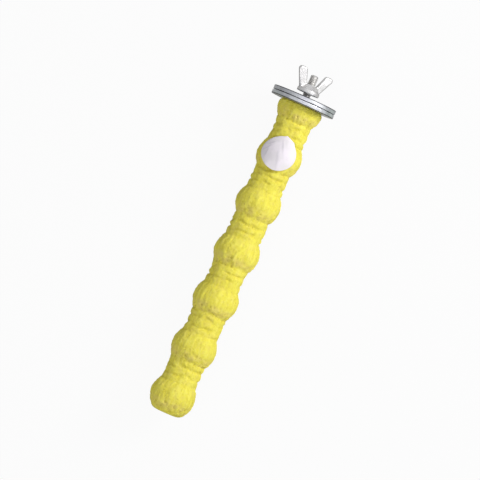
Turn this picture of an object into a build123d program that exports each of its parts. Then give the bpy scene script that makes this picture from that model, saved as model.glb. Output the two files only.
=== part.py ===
import os
from math import sqrt

from build123d import *

# Bird perch that bolts to cage bars. It lies along X, as it does in use. The origin is on the
# stud's axis at the clamp face of the inner washer. +X runs to the perch's free end, -X to the
# stud's tip, and +Z is up. All lengths are in millimetres.

# Grit body: a row of spheres, joined by necks of small rings
bulb_radius = 13.75
bulb_pitch = 31.2
bulb_count = 6
first_bulb_cut = 2.2
free_end_flat_radius = 8.4
groove_radius = 10.4
ring_width = 4.1
ring_rise = 0.65
clamp_end_round = 1.6
free_end_round = 2.4

# Dowel inside the grit
core_radius = 6.0
core_length = 182.0
core_clearance = 0.05

# Hanger bolt: machine thread outside, wood screw in the dowel
stud_radius = 2.5
stud_length = 30.0
stud_standout = 6.0
stud_tip_chamfer = 0.9
screw_root_radius = 1.8
screw_crest_radius = 2.6
screw_pitch = 2.2
screw_ridges = 9
screw_point_length = 4.5
bolt_clearance = 0.05

# Wide washers
washer_radius = 20.0
washer_thickness = 2.5
washer_edge_round = 0.4
washer_bore_clearance = 0.3
washer_seat_gap = 0.1
clamp_gap = 0.3

# Wing nut with rounded wings
nut_standoff = 2.6
nut_bore_clearance = 0.05
rim_radius = 7.0
rim_height = 2.0
rim_edge_round = 0.5
recess_radius = 5.3
recess_depth = 2.0
hub_top_radius = 3.9
hub_height = 5.7
wing_height = 14.2
wing_tip_outer_radius = 13.5
wing_tip_inner_radius = 7.2
wing_root_height = 0.9
wing_root_inset = 0.5
wing_thickness = 2.6
wing_corner_round = 1.7
wing_edge_round = 1.0
wing_turn = -30.0

# Round paper label on the first whole bulb
label_radius = 10.6
label_shift = (-1.8, -1.0)
label_thickness = 0.25
label_gap = 0.1
label_bend_radius = 28.0

# Places along the axis that several pieces share
body_start_x = washer_thickness + washer_seat_gap
first_bulb_x = body_start_x + first_bulb_cut
last_bulb_x = first_bulb_x + bulb_count * bulb_pitch
body_end_x = last_bulb_x + sqrt(bulb_radius**2 - free_end_flat_radius**2)
outer_washer_x = -clamp_gap - washer_thickness
nut_base_x = outer_washer_x - nut_standoff
hub_top_x = nut_base_x - hub_height
stud_tip_x = hub_top_x - stud_standout
stud_end_x = stud_tip_x + stud_length
ridges_end_x = stud_end_x + screw_ridges * screw_pitch
screw_tip_x = ridges_end_x + screw_point_length


def bolt_outline(growth):
    # Half of the bolt's long section, or of the hole it leaves when it is grown by a clearance
    points = [
        (stud_tip_x - growth, 0),
        (stud_tip_x - growth, stud_radius - stud_tip_chamfer + growth),
        (stud_tip_x + stud_tip_chamfer - growth, stud_radius + growth),
        (stud_end_x + growth, stud_radius + growth),
    ]
    for ridge in range(screw_ridges):
        ridge_x = stud_end_x + growth + ridge * screw_pitch
        points.append((ridge_x, screw_root_radius + growth))
        points.append((ridge_x + screw_pitch / 2, screw_crest_radius + growth))
    points.append((ridges_end_x + growth, screw_root_radius + growth))
    points.append((screw_tip_x + growth, 0))
    Polyline(*points, close=True)


def nut_point(height, radius):
    # A point of the nut's section, by its height over the rim and its distance from the axis
    return (nut_base_x - height, radius)


os.makedirs("parts", exist_ok=True)

# Cast body, revolved about the axis, with a blind bore for the dowel
half_bulb = sqrt(bulb_radius**2 - groove_radius**2)
neck_length = bulb_pitch - 2 * half_bulb
rings_per_neck = max(1, round(neck_length / ring_width))
ring_step = neck_length / rings_per_neck
ring_radius = groove_radius + ring_rise
clamp_end_radius = sqrt(bulb_radius**2 - first_bulb_cut**2)

with BuildPart() as grit_body:
    with BuildSketch(Plane.XZ):
        with BuildLine():
            Line((body_end_x, 0), (body_start_x, 0))
            Line((body_start_x, 0), (body_start_x, clamp_end_radius))
            arc_start = (body_start_x, clamp_end_radius)
            arc_top = (first_bulb_x, bulb_radius)
            for bulb in range(bulb_count):
                bulb_x = first_bulb_x + bulb * bulb_pitch
                groove = (bulb_x + half_bulb, groove_radius)
                ThreePointArc(arc_start, arc_top, groove)
                for ring in range(rings_per_neck):
                    ring_top = (groove[0] + ring_step / 2, ring_radius)
                    next_groove = (groove[0] + ring_step, groove_radius)
                    ThreePointArc(groove, ring_top, next_groove)
                    groove = next_groove
                arc_start = groove
                arc_top = (bulb_x + bulb_pitch, bulb_radius)
            ThreePointArc(arc_start, arc_top, (body_end_x, free_end_flat_radius))
            Line((body_end_x, free_end_flat_radius), (body_end_x, 0))
        make_face()
    revolve(axis=Axis.X)
    for end, end_round in ((0, clamp_end_round), (-1, free_end_round)):
        end_circle = grit_body.edges().filter_by(GeomType.CIRCLE).sort_by(Axis.X)[end]
        fillet(end_circle, radius=end_round)
    with BuildSketch(Plane.YZ.offset(body_start_x)):
        Circle(core_radius + core_clearance)
    extrude(amount=core_length + core_clearance, mode=Mode.SUBTRACT)
grit_body.part.label = "grit_body"
export_step(grit_body.part, "parts/grit_body.step")

# Dowel, with the hole that the bolt has cut in it
with BuildPart() as wood_core:
    with BuildSketch(Plane.YZ.offset(body_start_x)):
        Circle(core_radius)
    extrude(amount=core_length)
    with BuildSketch(Plane.XZ):
        with BuildLine():
            bolt_outline(bolt_clearance)
        make_face()
    revolve(axis=Axis.X, mode=Mode.SUBTRACT)
wood_core.part.label = "wood_core"
export_step(wood_core.part, "parts/wood_core.step")

# Hanger bolt, plain over the machine thread and ridged where it bites the wood
with BuildPart() as hanger_bolt:
    with BuildSketch(Plane.XZ):
        with BuildLine():
            bolt_outline(0)
        make_face()
    revolve(axis=Axis.X)
hanger_bolt.part.label = "hanger_bolt"
export_step(hanger_bolt.part, "parts/hanger_bolt.step")

# Two like washers, one on each side of the cage bars
for washer_name, washer_x in (("inner_washer", 0), ("outer_washer", outer_washer_x)):
    with BuildPart() as washer:
        with BuildSketch(Plane.YZ.offset(washer_x)):
            Circle(washer_radius)
            Circle(stud_radius + washer_bore_clearance, mode=Mode.SUBTRACT)
        extrude(amount=washer_thickness)
        outer_edges = washer.edges().filter_by(GeomType.CIRCLE).group_by(SortBy.RADIUS)[-1]
        fillet(outer_edges, radius=washer_edge_round)
    washer.part.label = washer_name
    export_step(washer.part, f"parts/{washer_name}.step")

# Wing nut: two wings that lean out of a tapered hub with a hollow rim
wing_plane = Plane.XY.rotated((wing_turn, 0, 0))

with BuildPart() as wing_nut:
    with BuildSketch(wing_plane) as wing_sketch:
        with BuildLine():
            Polyline(
                nut_point(wing_root_height, rim_radius - wing_root_inset),
                nut_point(wing_height, wing_tip_outer_radius),
                nut_point(wing_height, wing_tip_inner_radius),
                nut_point(hub_height - wing_root_inset, hub_top_radius - wing_root_inset),
                close=True,
            )
        make_face()
        fillet(wing_sketch.vertices().group_by(Axis.X)[0], radius=wing_corner_round)
        mirror(about=Plane.XZ)
    extrude(amount=wing_thickness / 2, both=True)
    fillet(wing_nut.faces().filter_by(wing_plane).edges(), radius=wing_edge_round)
    with BuildSketch(Plane.XZ) as hub_sketch:
        with BuildLine():
            Polyline(
                nut_point(0, 0),
                nut_point(0, rim_radius),
                nut_point(rim_height, rim_radius),
                nut_point(hub_height, hub_top_radius),
                nut_point(hub_height, 0),
                close=True,
            )
        make_face()
        fillet(hub_sketch.vertices().group_by(Axis.Y)[-1], radius=rim_edge_round)
    revolve(axis=Axis.X)
    with BuildSketch(Plane.YZ.offset(nut_base_x)):
        Circle(recess_radius)
    extrude(amount=-recess_depth, mode=Mode.SUBTRACT)
    with BuildSketch(Plane.YZ.offset(nut_base_x)):
        Circle(stud_radius + nut_bore_clearance)
    extrude(amount=-hub_height, mode=Mode.SUBTRACT)
wing_nut.part.label = "wing_nut"
export_step(wing_nut.part, "parts/wing_nut.step")

# Paper label: a thin belt bent over the bulb, with brims that clear the rings beside it, trimmed
# to a disc that faces up
label_bulb_x = first_bulb_x + bulb_pitch
bend_drop = bulb_radius - ring_radius
bend_reach = sqrt(label_bend_radius**2 - (label_bend_radius - bend_drop) ** 2)
brim_reach = bend_reach + label_radius + abs(label_shift[0])

with BuildPart() as round_label:
    with BuildSketch(Plane.XZ):
        with BuildLine():
            for lift in (label_gap, label_gap + label_thickness):
                brim_radius = ring_radius + lift
                ThreePointArc(
                    (label_bulb_x - bend_reach, brim_radius),
                    (label_bulb_x, bulb_radius + lift),
                    (label_bulb_x + bend_reach, brim_radius),
                )
                for side in (-1, 1):
                    Line(
                        (label_bulb_x + side * bend_reach, brim_radius),
                        (label_bulb_x + side * brim_reach, brim_radius),
                    )
            for side in (-1, 1):
                brim_x = label_bulb_x + side * brim_reach
                brim_under = ring_radius + label_gap
                Line((brim_x, brim_under), (brim_x, brim_under + label_thickness))
        make_face()
    revolve(axis=Axis.X)
    with BuildSketch(Plane.XY):
        with Locations((label_bulb_x + label_shift[0], label_shift[1])):
            Circle(label_radius)
    extrude(amount=bulb_radius + label_gap + label_thickness, mode=Mode.INTERSECT)
round_label.part.label = "round_label"
export_step(round_label.part, "parts/round_label.step")
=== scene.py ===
import math

import bmesh
import bpy
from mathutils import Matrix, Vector, noise


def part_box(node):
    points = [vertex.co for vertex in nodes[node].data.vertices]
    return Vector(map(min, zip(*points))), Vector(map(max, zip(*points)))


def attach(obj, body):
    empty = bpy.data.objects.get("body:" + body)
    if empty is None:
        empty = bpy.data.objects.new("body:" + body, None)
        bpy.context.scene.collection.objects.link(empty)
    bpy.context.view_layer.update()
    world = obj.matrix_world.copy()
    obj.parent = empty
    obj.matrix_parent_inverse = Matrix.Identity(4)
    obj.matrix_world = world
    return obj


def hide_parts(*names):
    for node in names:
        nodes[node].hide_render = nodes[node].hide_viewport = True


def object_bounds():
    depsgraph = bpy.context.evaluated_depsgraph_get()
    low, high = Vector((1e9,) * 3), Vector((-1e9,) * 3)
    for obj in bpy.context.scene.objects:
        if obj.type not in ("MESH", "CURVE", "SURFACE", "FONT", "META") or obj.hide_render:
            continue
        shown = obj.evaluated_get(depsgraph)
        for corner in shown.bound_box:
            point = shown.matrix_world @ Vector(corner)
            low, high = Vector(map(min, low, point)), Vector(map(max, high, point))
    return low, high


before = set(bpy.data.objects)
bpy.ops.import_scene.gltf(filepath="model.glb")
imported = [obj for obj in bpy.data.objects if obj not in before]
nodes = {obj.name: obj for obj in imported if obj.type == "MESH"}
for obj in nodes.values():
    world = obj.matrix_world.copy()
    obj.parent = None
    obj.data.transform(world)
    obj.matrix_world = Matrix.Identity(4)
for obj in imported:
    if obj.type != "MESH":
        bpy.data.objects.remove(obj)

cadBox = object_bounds()  # the box of the solids alone
scene = bpy.context.scene
mergeDistance = 1e-6  # points closer than this are one
print("frame loaded:", ", ".join(sorted(nodes)))


class Wire:  # a node socket that can stand in a sum
    def __init__(self, tree, socket=None):
        self.tree = tree
        self.socket = socket

    def node(self, kind, settings=None, inputs=None, output=0):
        made = self.tree.nodes.new(kind)
        for name, value in (settings or {}).items():
            setattr(made, name, value)
        for key, value in (inputs or {}).items():
            if isinstance(value, Wire):
                self.tree.links.new(value.socket, made.inputs[key])
            else:
                made.inputs[key].default_value = value
        return Wire(self.tree, made.outputs[output] if len(made.outputs) else None)

    def also(self, output):  # another output of the same node
        return Wire(self.tree, self.socket.node.outputs[output])

    def split(self):  # x of a vector, with y and z as its other outputs
        return self.node("ShaderNodeSeparateXYZ", {}, {0: self})

    def fn(self, operation, second=0.0, third=0.0):
        return self.node("ShaderNodeMath", {"operation": operation}, {0: self, 1: second, 2: third})

    def __add__(self, other):
        return self.fn("ADD", other)

    def __sub__(self, other):
        return self.fn("SUBTRACT", other)

    def __rsub__(self, other):
        return self.fn("MULTIPLY_ADD", -1.0, other)

    def __mul__(self, other):
        return self.fn("MULTIPLY", other)

    def __truediv__(self, other):
        return self.fn("DIVIDE", other)

    __radd__ = __add__
    __rmul__ = __mul__

    def ease(self, low, high):  # 0 below low, 1 above high, smooth between
        settings = {"interpolation_type": "SMOOTHSTEP"}
        return self.node("ShaderNodeMapRange", settings, {0: self, 1: low, 2: high})

    def ramp(self, low, high):  # 0 below low, 1 above high, straight between
        return self.node("ShaderNodeMapRange", {}, {0: self, 1: low, 2: high})

    def mix(self, first, second):  # from one colour to another by this value
        return self.node("ShaderNodeMix", {"data_type": "RGBA"}, {0: self, 6: first, 7: second}, 2)

    def drawn(self, scale):  # a vector drawn out by a scale for each axis
        return self.node("ShaderNodeVectorMath", {"operation": "MULTIPLY"}, {0: self, 1: scale})

    def noise(self, size, detail=2.0, rough=0.5, bend=0.0):  # cloudy value, lumps of about this size
        values = {
            "Vector": self,
            "Scale": 1 / size,
            "Detail": detail,
            "Roughness": rough,
            "Distortion": bend,
        }
        return self.node("ShaderNodeTexNoise", {}, values)

    def cells(self, size):  # distance to the nearest of scattered points
        return self.node("ShaderNodeTexVoronoi", {}, {"Vector": self, "Scale": 1 / size})


def rgb(red, green, blue):  # screen colour, 0 to 255
    def linear(value):
        value /= 255
        return value / 12.92 if value <= 0.04045 else ((value + 0.055) / 1.055) ** 2.4

    return (linear(red), linear(green), linear(blue), 1.0)


def newMaterial(name):  # an empty material, and the piece's own coordinates
    material = bpy.data.materials.new(name)
    material.use_nodes = True
    material.node_tree.nodes.clear()
    start = Wire(material.node_tree)
    return material, start, start.node("ShaderNodeTexCoord", output="Object")


def finishMaterial(start, values):
    shader = start.node("ShaderNodeBsdfPrincipled", {}, values)
    start.node("ShaderNodeOutputMaterial", {}, {0: shader})


def bump(start, height, distance, strength):
    values = {"Height": height, "Distance": distance, "Strength": strength}
    return start.node("ShaderNodeBump", {}, values)


def layered(colour, layers):  # each mask lays its own tone over the ones before
    for mask, tone in layers:
        colour = mask.mix(colour, tone)
    return colour


gritFinish = {
    "base": rgb(231, 219, 80),
    # crest is a painted highlight on raised grit, also laid at random by sandCrests
    "crestHighlightAndSand": rgb(240, 231, 92),
    # hollow is dirt and painted shade in the hollows and neck creases
    "hollow": rgb(200, 186, 54),
    # pit is dirt and painted shade in the pits, and the tone of the random dark specks
    "pit": rgb(168, 146, 52),
    "tan": rgb(228, 210, 112),
    "pale": rgb(242, 234, 128),
    "hollows": 0.42,  # how strongly each tone is laid on, down to sandCrests
    "clouds": 0.40,
    "strokes": 0.28,
    "tanFeet": 0.80,
    "pitDirtAndShading": 0.45,
    "paleSpecks": 0.30,
    "darkSpecks": 0.22,
    "sandCrests": 0.25,
    "cloudSize": 0.0045,
    "strokeSize": 0.0016,
    "strokeStretch": (0.20, 1.0, 1.0),
    "speckSize": 0.0010,
    "sandSize": 0.0005,
    "bumpDepth": 0.00013,
    "rough": 0.93,
    "sandShine": 0.13,
    "specular": 0.22,
}


def gritMaterial(look):
    material, start, place = newMaterial("yellowGrit")
    relief = start.node("ShaderNodeAttribute", {"attribute_name": "relief"}, output="Fac")
    foot = start.node("ShaderNodeAttribute", {"attribute_name": "foot"}, output="Fac")
    sand = place.noise(look["sandSize"], 3.0, 0.65)
    cloud = place.noise(look["cloudSize"], 3.0, 0.6)
    speck = place.cells(look["speckSize"])
    speckTone = speck.also("Color").split()
    stroke = place.drawn(look["strokeStretch"]).noise(look["strokeSize"], 2.0, 0.5)
    colour = layered(look["base"], (
        # painted highlight: raised grit takes the crest tone
        (relief.ease(0.40, 0.75), look["crestHighlightAndSand"]),
        # dirt and painted shade: hollows and neck creases take the hollow tone
        ((1 - relief.ease(0.14, 0.46)) * look["hollows"], look["hollow"]),
        (cloud.ease(0.46, 0.70) * look["clouds"], look["tan"]),
        (stroke.ease(0.52, 0.72) * look["strokes"], look["tan"]),
        ((1 - stroke.ease(0.30, 0.46)) * look["strokes"], look["pale"]),
        (foot * cloud.ease(0.32, 0.60) * look["tanFeet"], look["tan"]),
        # dirt and painted shade: the deepest pits take the pit tone
        ((1 - relief.ease(0.0, 0.16)) * look["pitDirtAndShading"], look["pit"]),
        (speckTone.ease(0.82, 0.97) * look["paleSpecks"], look["pale"]),
        ((1 - speckTone.ease(0.02, 0.08)) * look["darkSpecks"], look["pit"]),
        (sand.ease(0.36, 0.70) * look["sandCrests"], look["crestHighlightAndSand"]),
    ))
    grain = sand * 0.7 + (1 - speck.ease(0.0, 0.75)) * 0.5
    values = {
        "Base Color": colour,
        "Roughness": look["rough"] - sand.ease(0.4, 0.8) * look["sandShine"],
        "Specular IOR Level": look["specular"],
        "Normal": bump(start, grain, look["bumpDepth"], 0.8),
    }
    finishMaterial(start, values)
    return material


zincFinish = {
    "bright": rgb(206, 208, 210),
    "dull": rgb(176, 178, 181),
    "green": rgb(184, 199, 190),
    "violet": rgb(195, 193, 207),
    "grime": rgb(112, 112, 114),
    "edgeShade": rgb(62, 62, 66),
    "pairMiddle": -0.00015,  # X half way between the washers
    "edgeFrom": 0.00195,  # from there to the outer edges, which take a painted dark reflection
    "edgeTo": 0.00230,
    "tint": 0.40,
    "rough": 0.32,
    "edgeShading": 0.90,
    "scratches": 0.30,
    "flecks": 0.35,
    "cloudSize": 0.006,
    "tintSize": 0.013,
    "scratchSize": 0.00035,
    "scratchStretch": (0.06, 1.0, 1.0),  # drawn out along X
    "fleckSize": 0.0008,
    "grain": 0.00003,
}


def zincMaterial(name, look):
    material, start, place = newMaterial(name)
    cloud = place.noise(look["cloudSize"], 3.0, 0.55)
    tint = place.noise(look["tintSize"], 1.0, 0.5, 0.6)
    scratch = place.drawn(look["scratchStretch"]).noise(look["scratchSize"], 2.0, 0.6)
    fine = place.noise(look["fleckSize"], 3.0, 0.6)
    flat = place.also("Normal").split().fn("ABSOLUTE")  # 1 on faces across X
    away = (place.split() - look["pairMiddle"]).fn("ABSOLUTE")
    edge = away.ease(look["edgeFrom"], look["edgeTo"]) * (1 - flat.ease(0.92, 0.99))
    colour = layered(look["dull"], (
        (cloud.ease(0.35, 0.68), look["bright"]),
        (tint.ease(0.52, 0.70) * look["tint"], look["green"]),
        ((1 - tint.ease(0.30, 0.46)) * look["tint"], look["violet"]),
        (scratch.ease(0.60, 0.78) * look["scratches"], look["grime"]),
        (fine.ease(0.66, 0.80) * look["flecks"], look["grime"]),
        # painted shade: the outer rolled edges are laid dark in place of their dark reflection
        (edge * look["edgeShading"], look["edgeShade"]),
    ))
    values = {
        "Base Color": colour,
        "Metallic": 1.0,
        "Roughness": look["rough"] + cloud.ease(0.3, 0.7) * 0.14 + scratch.ease(0.5, 0.8) * 0.12,
        "Normal": bump(start, scratch * 0.6 + fine * 0.4, look["grain"], 0.5),
    }
    finishMaterial(start, values)
    return material


woodFinish = {
    "early": rgb(214, 178, 128),
    "late": rgb(168, 122, 76),
    "pore": rgb(120, 84, 50),
    "ringSize": 0.0026,
    "ringStretch": (0.08, 1.0, 1.0),
    "poreSize": 0.0004,
    "poreStretch": (0.05, 1.0, 1.0),
    "pores": 0.6,
    "rough": 0.62,
    "grain": 0.00008,
}


def woodMaterial(look):
    material, start, place = newMaterial("dowelWood")
    ring = place.drawn(look["ringStretch"]).noise(look["ringSize"], 2.0, 0.5, 0.8)
    pore = place.drawn(look["poreStretch"]).noise(look["poreSize"], 2.0, 0.6)
    colour = layered(look["early"], (
        (ring.ease(0.36, 0.64), look["late"]),
        (pore.ease(0.60, 0.75) * look["pores"], look["pore"]),
    ))
    values = {
        "Base Color": colour,
        "Roughness": look["rough"] + pore * 0.2,
        "Normal": bump(start, ring * 0.5 + pore * 0.5, look["grain"], 0.5),
    }
    finishMaterial(start, values)
    return material


paperFinish = {
    "white": rgb(229, 224, 228),
    "lavender": rgb(238, 231, 238),
    "greyMark": rgb(190, 184, 194),
    "cloudSize": 0.007,
    "fibreSize": 0.0006,
    "fibreStretch": (0.35, 1.0, 1.0),
    "fibres": 0.25,
    "creases": 0.45,
    "rough": 0.50,
    "specular": 0.4,
    "grain": 0.00004,
}


def paperMaterial(look):
    material, start, place = newMaterial("labelPaper")
    crease = start.node("ShaderNodeAttribute", {"attribute_name": "crease"}, output="Fac")
    cloud = place.noise(look["cloudSize"], 2.0)
    fibre = place.drawn(look["fibreStretch"]).noise(look["fibreSize"], 3.0, 0.6)
    colour = layered(look["white"], (
        (cloud.ease(0.40, 0.66), look["lavender"]),
        (fibre.ease(0.58, 0.78) * look["fibres"], look["greyMark"]),
        # darker grey along the creases
        (crease * look["creases"], look["greyMark"]),
    ))
    values = {
        "Base Color": colour,
        "Roughness": look["rough"] + fibre * 0.2,
        "Specular IOR Level": look["specular"],
        "Normal": bump(start, fibre, look["grain"], 0.5),
    }
    finishMaterial(start, values)
    return material


studFinish = dict(
    zincFinish,
    bright=rgb(206, 204, 201),
    dull=rgb(176, 174, 171),
    tint=0.05,
    rough=0.34,
    edgeShading=0.0,
)
nutFinish = dict(
    zincFinish,
    bright=rgb(222, 221, 219),
    dull=rgb(204, 202, 200),
    tint=0.05,
    rough=0.28,
    edgeShading=0.0,
    scratches=0.04,
    flecks=0.04,
    grain=0.000003,
)
yellowGrit = gritMaterial(gritFinish)
washerZinc = zincMaterial("washerZinc", zincFinish)
studZinc = zincMaterial("studZinc", studFinish)
nutBright = zincMaterial("nutBright", nutFinish)
dowelWood = woodMaterial(woodFinish)
labelPaper = paperMaterial(paperFinish)
print("materials ready")


def newTree(name, sizes):  # a node tree with a named input for each size
    tree = bpy.data.node_groups.new(name, "GeometryNodeTree")
    tree.interface.new_socket("Mesh", in_out="INPUT", socket_type="NodeSocketGeometry")
    tree.interface.new_socket("Mesh", in_out="OUTPUT", socket_type="NodeSocketGeometry")
    for label, value in sizes.items():
        if isinstance(value, dict):  # used by the script alone
            continue
        kind = "NodeSocketInt" if isinstance(value, int) else "NodeSocketFloat"
        tree.interface.new_socket(label, in_out="INPUT", socket_type=kind)
    given = tree.nodes.new("NodeGroupInput")
    return Wire(tree), {socket.name: Wire(tree, socket) for socket in given.outputs if socket.name}


def runTree(start, shape, sizes, material, mesh=None):  # the tree's result as a plain mesh
    shape = start.node("GeometryNodeRealizeInstances", {}, {0: shape})
    shape = start.node("GeometryNodeSetMaterial", {}, {0: shape, "Material": material})
    start.node("NodeGroupOutput", {}, {0: shape})
    name = start.tree.name
    piece = bpy.data.objects.new(name, mesh or bpy.data.meshes.new(name))
    scene.collection.objects.link(piece)
    modifier = piece.modifiers.new(name, "NODES")
    modifier.node_group = start.tree
    for item in start.tree.interface.items_tree:
        if item.in_out == "INPUT" and item.name in sizes:
            modifier[item.identifier] = sizes[item.name]
    made = piece.evaluated_get(bpy.context.evaluated_depsgraph_get())
    result = bpy.data.meshes.new_from_object(made)
    piece.modifiers.remove(modifier)
    piece.data = result
    result.name = name
    triangles = sum(len(face.vertices) - 2 for face in result.polygons)
    print(name + ":", triangles, "triangles")
    return piece


def wrappedGrid(start, rows, around):  # a grid to be rolled up: the row number and the turn
    values = {"Size X": 1.0, "Size Y": 1.0, "Vertices X": rows + 1, "Vertices Y": around + 1}
    grid = start.node("GeometryNodeMeshGrid", {}, values)
    flat = start.node("GeometryNodeInputPosition").split()
    row = ((flat + 0.5) * rows).fn("ROUND")
    column = ((flat.also(1) + 0.5) * around).fn("ROUND")
    column = column.fn("MODULO", around)  # the last one meets the first
    return grid, row, column / around * (2 * math.pi)


def point(start, x, y, z):
    return start.node("ShaderNodeCombineXYZ", {}, {"X": x, "Y": y, "Z": z})


def rolledUp(start, grid, x, radius, turn):  # the grid as a closed skin about the X axis
    place = point(start, x, radius * turn.fn("COSINE"), radius * turn.fn("SINE"))
    skin = start.node("GeometryNodeSetPosition", {}, {0: grid, "Position": place})
    skin = start.node("GeometryNodeMergeByDistance", {}, {0: skin, "Distance": mergeDistance})
    skin = start.node("GeometryNodeFlipFaces", {}, {0: skin})
    return start.node("GeometryNodeSetShadeSmooth", {}, {0: skin})


def keepValue(start, shape, name, value):
    settings = {"data_type": "FLOAT", "domain": "POINT"}
    values = {0: shape, "Name": name, "Value": value}
    return start.node("GeometryNodeStoreNamedAttribute", settings, values)


bodyLow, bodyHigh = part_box("grit_body")
labelLow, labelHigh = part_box("round_label")
labelMiddle = (labelLow + labelHigh) / 2
labelRadius = (labelHigh.x - labelLow.x) / 2
gritBody = {
    "Start": bodyLow.x,
    "End": bodyHigh.x,
    "Bulb radius": bodyHigh.z,
    "Bulb pitch": 0.0312,
    "First bulb": 0.0048,
    "Half bulb": 0.0090,
    "Shaft radius": 0.0105,
    "Neck radius": 0.0110,
    "Neck blend": 0.0020,
    "Ring step": 0.0050,
    "Ring wander": 1.1,
    "Crease depth": 0.00115,
    "Crease width": 0.0019,
    "Clamp flat": 0.01197,
    "Clamp round": 0.0019,
    "End flat": 0.0070,
    "End round": 0.0060,
    "End blend": 0.0006,
    "Bore radius": 0.00605,
    "Bore end": 0.18465,
    "Lump height": 0.0013,
    "Lip depth": 0.0004,
    "Lip width": 0.0013,
    "Wrinkle height": 0.0014,
    "Grit height": 0.0006,
    "Foot lump": 0.0012,
    "Pit depth": 0.0005,
    "Sink": 0.00012,
    "Relief range": 0.0007,
    "Label x": labelMiddle.x,
    "Label y": labelMiddle.y,
    "Label radius": labelRadius,
    "Label bed": 0.00035,
    "Skin rows": 470,
    "Around": 176,
    "waves": {  # size of the noise behind each feature
        "wander": 0.0085,
        "broken": 0.0070,
        "lip": 0.0075,
        "lump": 0.010,
        "wrinkle": 0.0024,
        "grit": 0.0016,
        "foot": 0.0026,
        "pit": 0.0027,
    },
}


def buildGritBody(sizes):
    start, size = newTree("gritBody", sizes)
    waves = sizes["waves"]
    boreRows, wallRows, faceRows, capRows = 2, 3, 4, 14
    skinFrom = boreRows + wallRows + faceRows
    rows = size["Skin rows"] + (skinFrom + capRows)
    grid, row, turn = wrappedGrid(start, rows, size["Around"])
    inBore = row.ramp(0.0, boreRows)
    onWall = row.ramp(boreRows, boreRows + wallRows)
    onFace = row.ramp(boreRows + wallRows, skinFrom)
    onSkin = ((row - skinFrom) / size["Skin rows"]).ramp(0.0, 1.0)
    onCap = ((row - skinFrom - size["Skin rows"]) / capRows).ramp(0.0, 1.0)
    x = size["Bore end"] + onWall * (size["Start"] - size["Bore end"])
    x = x + onSkin * (size["End"] - size["Start"])
    across, upward = turn.fn("COSINE"), turn.fn("SINE")
    shaft = point(start, x, across * size["Shaft radius"], upward * size["Shaft radius"])

    pitches = (x - size["First bulb"]) / size["Bulb pitch"]
    offset = (pitches - pitches.fn("ROUND")) * size["Bulb pitch"]  # from the nearest bulb's middle
    fromNeck = (pitches.fn("FRACT") - 0.5) * size["Bulb pitch"]  # from the nearest neck's middle
    ball = (size["Bulb radius"] * size["Bulb radius"] - offset * offset).fn("MAXIMUM", 0.0).fn("SQRT")
    wander = (shaft.noise(waves["wander"], 1.0) - 0.5) * size["Ring wander"]
    phase = (fromNeck / size["Ring step"] + wander + 0.5).fn("FRACT")
    toCrease = phase.fn("MINIMUM", 1 - phase) * size["Ring step"]
    broken = shaft.drawn((1.6, 1.0, 1.0)).noise(waves["broken"], 1.0).ease(0.36, 0.64)
    crease = (1 - (toCrease / size["Crease width"]).ease(0.0, 1.0)) * (0.08 + 0.92 * broken)
    neck = size["Neck radius"] - size["Crease depth"] * crease
    lip = 1 - ((ball - neck) / size["Lip width"]).fn("ABSOLUTE").ease(0.0, 1.0)  # bulb meets neck
    lip = lip * shaft.noise(waves["lip"], 1.0).ease(0.42, 0.66)
    lip = lip * (0.45 + 0.55 * offset.fn("GREATER_THAN", 0.0))  # deeper on the free end's side
    radius = ball.fn("SMOOTH_MAX", neck, size["Neck blend"]) - lip * size["Lip depth"]
    fromClamp = ((x - size["Start"]) * size["Clamp round"]).fn("MAXIMUM", 0.0).fn("SQRT")
    fromEnd = ((size["End"] - x) * size["End round"]).fn("MAXIMUM", 0.0).fn("SQRT")
    radius = radius.fn("MINIMUM", size["Clamp flat"] + fromClamp)
    radius = radius.fn("SMOOTH_MIN", size["End flat"] + fromEnd, size["End blend"])

    place = point(start, x, radius * across * (1 - onCap), radius * upward * (1 - onCap))
    onBulb = (ball - neck).ease(-0.0002, 0.0012)
    share = offset / size["Half bulb"]
    foot = share.ease(0.15, 0.60) * (1 - share.ease(1.0, 1.2))  # the free end's side of a bulb
    lump = (place.noise(waves["lump"], 1.0) - 0.5) * size["Lump height"]
    wrinkle = place.drawn((0.22, 1.0, 1.0)).noise(waves["wrinkle"], 1.5, 0.55, 0.4)
    wrinkle = (wrinkle - 0.5) * size["Wrinkle height"]
    grit = (place.noise(waves["grit"], 3.0, 0.6) - 0.5) * size["Grit height"]
    grit = grit + (place.noise(waves["foot"], 1.0) - 0.5) * size["Foot lump"] * foot
    dent = place.cells(waves["pit"])
    chosen = dent.also("Color").split().ease(0.40, 0.65)
    pit = (1 - dent.ease(0.08, 0.46)) * chosen * (0.08 + 0.92 * foot)
    height = lump + grit + wrinkle * (0.35 + 0.65 * onBulb) - pit * size["Pit depth"] - size["Sink"]
    dx, dy = x - size["Label x"], radius * across - size["Label y"]
    toLabel = (dx * dx + dy * dy).fn("SQRT") - size["Label radius"]
    bed = (1 - toLabel.ease(-0.0004, 0.0012)) * upward.fn("GREATER_THAN", 0.0)  # under the label
    height = height + bed * (0 - size["Label bed"] - height)
    relief = 0.5 + (grit + wrinkle * 0.6 - pit * size["Pit depth"]) / size["Relief range"]
    # the neck creases read lower, so they take the hollow tone as dirt and painted shade
    relief = relief - crease * (1 - onBulb) * 0.24

    bumpy = radius + height
    radius = (size["Bore radius"] * inBore + onFace * (bumpy - size["Bore radius"])) * (1 - onCap)
    x = x + height * (onCap * 5.0).fn("MINIMUM", 1.0)
    skin = keepValue(start, grid, "relief", relief.fn("MINIMUM", 1.0).fn("MAXIMUM", 0.0))
    skin = keepValue(start, skin, "foot", foot * onBulb)
    return runTree(start, rolledUp(start, skin, x, radius, turn), sizes, yellowGrit)


body = buildGritBody(gritBody)
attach(body, "perch")
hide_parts("grit_body")

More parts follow.
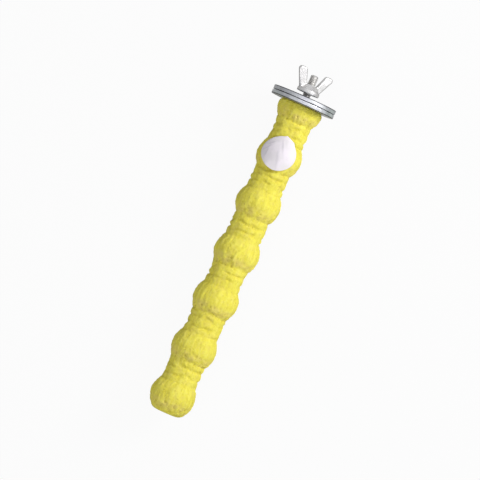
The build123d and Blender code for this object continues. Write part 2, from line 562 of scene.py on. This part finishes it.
gritGrains = {
    "Density": 420000.0,
    "Smallest": 0.00012,
    "Largest": 0.00034,
    "Flatness": 0.8,
    "Darkest": 0.45,
    "Palest": 1.0,
    "Skin radius": 0.0088,
    "Clamp end": bodyLow.x + 0.0008,
    "Label x": labelMiddle.x,
    "Label y": labelMiddle.y,
    "Label radius": labelRadius + 0.0008,
    "Seed": 7,
    "Tone seed": 3,
    "Scale seed": 11,
}


def buildGritGrains(sizes, skinMesh):
    start, size = newTree("gritGrains", sizes)
    spot = start.node("GeometryNodeInputPosition").split()
    x, y, z = spot, spot.also(1), spot.also(2)
    out = (y * y + z * z).fn("SQRT").fn("GREATER_THAN", size["Skin radius"])
    dx, dy = x - size["Label x"], y - size["Label y"]
    bare = (dx * dx + dy * dy).fn("SQRT").fn("GREATER_THAN", size["Label radius"])
    free = out * bare.fn("MAXIMUM", z.fn("LESS_THAN", 0.0)) * x.fn("GREATER_THAN", size["Clamp end"])
    settings = {"distribute_method": "RANDOM"}
    values = {0: size["Mesh"], "Selection": free, "Density": size["Density"], "Seed": size["Seed"]}
    points = start.node("GeometryNodeDistributePointsOnFaces", settings, values)
    turned = points.also("Rotation")
    values = {2: size["Darkest"], 3: size["Palest"], "Seed": size["Tone seed"]}
    tone = start.node("FunctionNodeRandomValue", {"data_type": "FLOAT"}, values, 1)
    points = keepValue(start, points, "relief", tone)
    small, large = size["Smallest"], size["Largest"]
    least = point(start, small, small, small)
    most = point(start, large, large, large * size["Flatness"])
    values = {0: least, 1: most, "Seed": size["Scale seed"]}
    scale = start.node("FunctionNodeRandomValue", {"data_type": "FLOAT_VECTOR"}, values)
    grain = start.node("GeometryNodeMeshIcoSphere", {}, {0: 1.0, 1: 1})
    values = {0: points, "Instance": grain, "Rotation": turned, "Scale": scale}
    grains = start.node("GeometryNodeInstanceOnPoints", {}, values)
    return runTree(start, grains, sizes, yellowGrit, skinMesh)


grains = buildGritGrains(gritGrains, body.data)
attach(grains, "perch")

boltLow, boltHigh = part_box("hanger_bolt")
threadedStud = {
    "Tip": boltLow.x,
    "Stud end": boltLow.x + 0.0300,
    "Screw end": boltLow.x + 0.0498,
    "Point": boltHigh.x,
    "Stud radius": 0.0025,
    "Thread pitch": 0.0008,
    "Thread depth": 0.00046,
    "Tip radius": 0.0013,
    "Tip round": 0.0019,
    "Screw radius": 0.0026,
    "Screw root": 0.0018,
    "Screw pitch": 0.0022,
    "Rows": 430,
    "Around": 44,
}


def buildThreadedStud(sizes):
    start, size = newTree("threadedStud", sizes)
    tipRows = 5
    grid, row, turn = wrappedGrid(start, size["Rows"] + tipRows, size["Around"])
    onTip = row.ramp(0.0, tipRows)
    x = size["Tip"] + ((row - tipRows) / size["Rows"]).ramp(0.0, 1.0) * (size["Point"] - size["Tip"])
    share = turn / (2 * math.pi)

    def flankAt(pitch):  # 0 in the groove of a helix, 1 on its crest
        return (((x / pitch) - share).fn("FRACT") - 0.5).fn("ABSOLUTE") * 2.0

    groove = 1 - flankAt(size["Thread pitch"]).ramp(0.14, 0.82)
    tip = ((x - size["Tip"]) * size["Tip round"]).fn("MAXIMUM", 0.0).fn("SQRT")
    thread = size["Stud radius"] - size["Thread depth"] * groove
    thread = thread.fn("MINIMUM", size["Tip radius"] + tip)
    ridge = flankAt(size["Screw pitch"]).ramp(0.45, 1.0)
    taper = ((size["Point"] - x) / (size["Point"] - size["Screw end"])).ramp(0.0, 1.0)
    screw = (size["Screw root"] + (size["Screw radius"] - size["Screw root"]) * ridge) * taper
    inWood = x.fn("GREATER_THAN", size["Stud end"])
    radius = start.node("ShaderNodeMix", {"data_type": "FLOAT"}, {0: inWood, 2: thread, 3: screw})
    return runTree(start, rolledUp(start, grid, x, radius * onTip, turn), sizes, studZinc)


stud = buildThreadedStud(threadedStud)
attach(stud, "perch")
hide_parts("hanger_bolt")

bareNodes = {"inner_washer": washerZinc, "outer_washer": washerZinc, "wood_core": dowelWood}
for name, material in bareNodes.items():
    nodes[name].data.materials.clear()
    nodes[name].data.materials.append(material)
print("washers and dowel finished")

wingNut = {"voxel": 0.00014, "smoothing": 0.5, "passes": 7}


def buildWingNut(sizes):
    mesh = nodes["wing_nut"].data.copy()
    mesh.materials.clear()
    mesh.materials.append(nutBright)
    shell = bmesh.new()
    shell.from_mesh(mesh)
    bmesh.ops.remove_doubles(shell, verts=shell.verts, dist=mergeDistance)
    shell.to_mesh(mesh)
    shell.free()
    piece = bpy.data.objects.new("wingNut", mesh)
    scene.collection.objects.link(piece)
    remesh = piece.modifiers.new("fuse", "REMESH")
    remesh.mode = "VOXEL"
    remesh.voxel_size = sizes["voxel"]
    remesh.use_smooth_shade = True
    smooth = piece.modifiers.new("blend", "SMOOTH")
    smooth.factor = sizes["smoothing"]
    smooth.iterations = sizes["passes"]
    made = piece.evaluated_get(bpy.context.evaluated_depsgraph_get())
    result = bpy.data.meshes.new_from_object(made)
    piece.modifiers.clear()
    piece.data = result
    print("wingNut:", 2 * len(result.polygons), "triangles")
    return piece


nut = buildWingNut(wingNut)
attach(nut, "wing_nut")
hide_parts("wing_nut")

paperLabel = {
    "radius": labelRadius,
    "bulbX": 0.0360,
    "top": labelHigh.z,
    "bend": 0.028,
    "thickness": 0.00014,
    "turn": math.radians(114.0),  # its own right-hand direction, from +X
    "corner": math.radians(46.0),  # where its edge is squared off, from its own right
    "cornerHalf": math.radians(17.0),
    "cornerFade": math.radians(16.0),
    "chord": 0.0110,
    "lift": math.radians(235.0),  # where its rim stands off the bulb
    "liftHeight": 0.00080,
    "ripple": 0.00010,
    "rippleScale": 260.0,
    "curl": 0.00016,
    "curlScale": 1.3,
    "rings": 48,
    "around": 160,
    "creases": (  # middle to the right and up, direction, half length, half width, height
        (0.0025, 0.0045, 90.0, 0.0042, 0.00070, 0.00016),
        (-0.0067, 0.0038, 28.0, 0.0026, 0.00038, 0.00018),
        (-0.0072, 0.0010, 62.0, 0.0024, 0.00036, 0.00014),
        (-0.0040, 0.0066, 20.0, 0.0022, 0.00034, 0.00012),
        (-0.0010, -0.0030, 80.0, 0.0060, 0.00090, 0.00008),
    ),
}


def buildPaperLabel(sizes):
    rings, around = sizes["rings"], sizes["around"]
    right = Vector((math.cos(sizes["turn"]), math.sin(sizes["turn"])))
    up = Vector((-right.y, right.x))

    def edgeAt(angle):  # distance of the rim, with one corner squared off
        aside = abs((angle - sizes["corner"] + math.pi) % (2 * math.pi) - math.pi)
        if aside < sizes["cornerHalf"]:
            return sizes["chord"] / math.cos(aside)
        fade = min(1.0, (aside - sizes["cornerHalf"]) / sizes["cornerFade"])
        peak = sizes["chord"] / math.cos(sizes["cornerHalf"])
        return sizes["radius"] + (peak - sizes["radius"]) * (1 - fade) ** 2

    def foldAt(a, b):  # height of the creases, and how sharp they are
        lift, mark = 0.0, 0.0
        for middleA, middleB, turn, length, width, height in sizes["creases"]:
            way = Vector((math.cos(math.radians(turn)), math.sin(math.radians(turn))))
            along = (a - middleA) * way.x + (b - middleB) * way.y
            aside = (b - middleB) * way.x - (a - middleA) * way.y
            strength = math.exp(-((aside / width) ** 2) - (along / length) ** 2)
            lift += height * strength
            mark = max(mark, strength)
        return lift, mark

    def placed(a, b, below):  # a point of the flat paper, laid over the bulb
        x = labelMiddle.x + a * right.x + b * up.x
        y = labelMiddle.y + a * right.y + b * up.y
        lift, mark = foldAt(a, b)
        rim = min(1.0, math.hypot(a, b) / sizes["radius"])
        angle = math.atan2(b, a)
        ripple = sizes["ripple"] * noise.noise(Vector((x, y, 0.0)) * sizes["rippleScale"])
        curl = sizes["curl"] * rim**6 * noise.noise(Vector((angle * sizes["curlScale"], 0.0, 4.0)))
        facing = max(0.0, math.cos(angle - sizes["lift"]))
        curl += sizes["liftHeight"] * facing**2 * rim**5
        arc = math.sqrt(sizes["bend"] ** 2 - (x - sizes["bulbX"]) ** 2)
        radius = sizes["top"] - sizes["bend"] + arc + lift + ripple + curl - below
        lean = math.asin(y / sizes["top"])
        return (x, radius * math.sin(lean), radius * math.cos(lean)), mark

    shell = bmesh.new()
    layer = shell.verts.layers.float.new("crease")
    sheets = []
    for below in (0.0, sizes["thickness"]):
        sheet = []
        for ring in range(rings + 1):
            row = []
            for step in range(around if ring else 1):
                angle = 2 * math.pi * step / around
                reach = edgeAt(angle) * ring / rings
                spot, mark = placed(reach * math.cos(angle), reach * math.sin(angle), below)
                vert = shell.verts.new(spot)
                vert[layer] = mark
                row.append(vert)
            sheet.append(row)
        sheets.append(sheet)
    top, bottom = sheets
    for step in range(around):
        after = (step + 1) % around
        for sheet in sheets:
            shell.faces.new((sheet[0][0], sheet[1][step], sheet[1][after]))
            for ring in range(1, rings):
                inner, outer = sheet[ring], sheet[ring + 1]
                shell.faces.new((inner[step], outer[step], outer[after], inner[after]))
        shell.faces.new((top[rings][step], bottom[rings][step], bottom[rings][after], top[rings][after]))
    bmesh.ops.recalc_face_normals(shell, faces=shell.faces)
    mesh = bpy.data.meshes.new("paperLabel")
    shell.to_mesh(mesh)
    shell.free()
    mesh.materials.append(labelPaper)
    for face in mesh.polygons:
        face.use_smooth = True
    piece = bpy.data.objects.new("paperLabel", mesh)
    scene.collection.objects.link(piece)
    print("paperLabel:", 2 * len(mesh.polygons), "triangles at most")
    return piece


label = buildPaperLabel(paperLabel)
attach(label, "perch")
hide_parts("round_label")

stage = {
    "floorZ": cadBox[0].z - 0.0003,
    "floorSize": 6.0,
    "grey": 0.56,
    "seenWhite": 0.94,
    "mirroredWhite": 0.10,
}


def buildFloor(sizes):
    half, grey = sizes["floorSize"] / 2, sizes["grey"]
    mesh = bpy.data.meshes.new("floor")
    corners = [(-half, -half), (half, -half), (half, half), (-half, half)]
    mesh.from_pydata([(x, y, sizes["floorZ"]) for x, y in corners], [], [(0, 1, 2, 3)])
    material, start = newMaterial("floorPaper")[:2]
    paper = start.node("ShaderNodeBsdfDiffuse", {}, {0: (grey, grey, grey, 1.0)})
    glow = start.node("ShaderNodeEmission", {}, {0: (1.0, 1.0, 1.0, 1.0), 1: 1.0})
    path = start.node("ShaderNodeLightPath")
    mirrored = path.also("Is Glossy Ray").fn("MAXIMUM", path.also("Is Transmission Ray"))
    white = path * sizes["seenWhite"] + mirrored * sizes["mirroredWhite"]
    mixed = start.node("ShaderNodeMixShader", {}, {0: white, 1: paper, 2: glow})
    start.node("ShaderNodeOutputMaterial", {}, {0: mixed})
    mesh.materials.append(material)
    floor = bpy.data.objects.new("floor", mesh)
    scene.collection.objects.link(floor)


buildFloor(stage)

camera = {
    "middle": (0.0907, -0.0012),
    "turn": math.radians(114.0),
    "distance": 2.2,
    "width": 0.2866,  # of what is seen
    "sensor": 36.0,
    "clipEnd": 50.0,
}
imageRight = Vector((math.cos(camera["turn"]), math.sin(camera["turn"]), 0.0))
imageUp = Vector((-imageRight.y, imageRight.x, 0.0))


def pictureWay(toward):  # a direction given as right, up and out of the picture
    right, up, out = toward
    return (imageRight * right + imageUp * up + Vector((0.0, 0.0, out))).normalized()


def buildCamera(sizes):
    data = bpy.data.cameras.new("camera")
    data.sensor_width = sizes["sensor"]
    data.lens = sizes["sensor"] * sizes["distance"] / sizes["width"]
    data.clip_end = sizes["clipEnd"]
    eye = bpy.data.objects.new("camera", data)
    eye.location = (sizes["middle"][0], sizes["middle"][1], sizes["distance"])
    eye.rotation_euler = (0.0, 0.0, sizes["turn"])
    scene.collection.objects.link(eye)
    scene.camera = eye


buildCamera(camera)

lamps = {
    "key": {"toward": (0.85, 0.29, 0.62), "distance": 0.9, "size": 0.36, "power": 6.0},
    "fill": {"toward": (-0.30, -0.45, 1.0), "distance": 1.2, "size": 0.9, "power": 4.2},
}


def buildLamps(sizes):
    aim = Vector((camera["middle"][0], camera["middle"][1], 0.0))
    for name, lamp in sizes.items():
        back = pictureWay(lamp["toward"])
        data = bpy.data.lights.new(name, "AREA")
        data.shape = "DISK"
        data.size = lamp["size"]
        data.energy = lamp["power"]
        light = bpy.data.objects.new(name, data)
        light.location = aim + back * lamp["distance"]
        light.rotation_mode = "QUATERNION"
        light.rotation_quaternion = (-back).to_track_quat("-Z", "Y")
        scene.collection.objects.link(light)


buildLamps(lamps)

studio = {
    "ambient": 0.36,
    "darkSide": 0.76,
    "brightSide": 1.0,
    "toward": (0.85, 0.25, 0.45),  # where the bright side is
    "sky": (0.96, 0.97, 1.0, 1.0),
}


def buildWorld(sizes):
    world = bpy.data.worlds.new("studio")
    scene.world = world
    world.use_nodes = True
    world.node_tree.nodes.clear()
    start = Wire(world.node_tree)
    way = start.node("ShaderNodeTexCoord")
    values = {0: way, 1: pictureWay(sizes["toward"])}
    facing = start.node("ShaderNodeVectorMath", {"operation": "DOT_PRODUCT"}, values, 1)
    mirrored = sizes["darkSide"] + facing.ease(-0.35, 0.75) * (sizes["brightSide"] - sizes["darkSide"])
    path = start.node("ShaderNodeLightPath")
    glossy = path.also("Is Glossy Ray").fn("MAXIMUM", path.also("Is Transmission Ray"))
    strength = path.fn("MAXIMUM", glossy * mirrored).fn("MAXIMUM", (1 - glossy) * sizes["ambient"])
    sky = start.node("ShaderNodeBackground", {}, {0: sizes["sky"], 1: strength})
    start.node("ShaderNodeOutputWorld", {}, {0: sky})


buildWorld(studio)
scene.view_settings.view_transform = "Standard"
print("stage, camera and lamps ready")
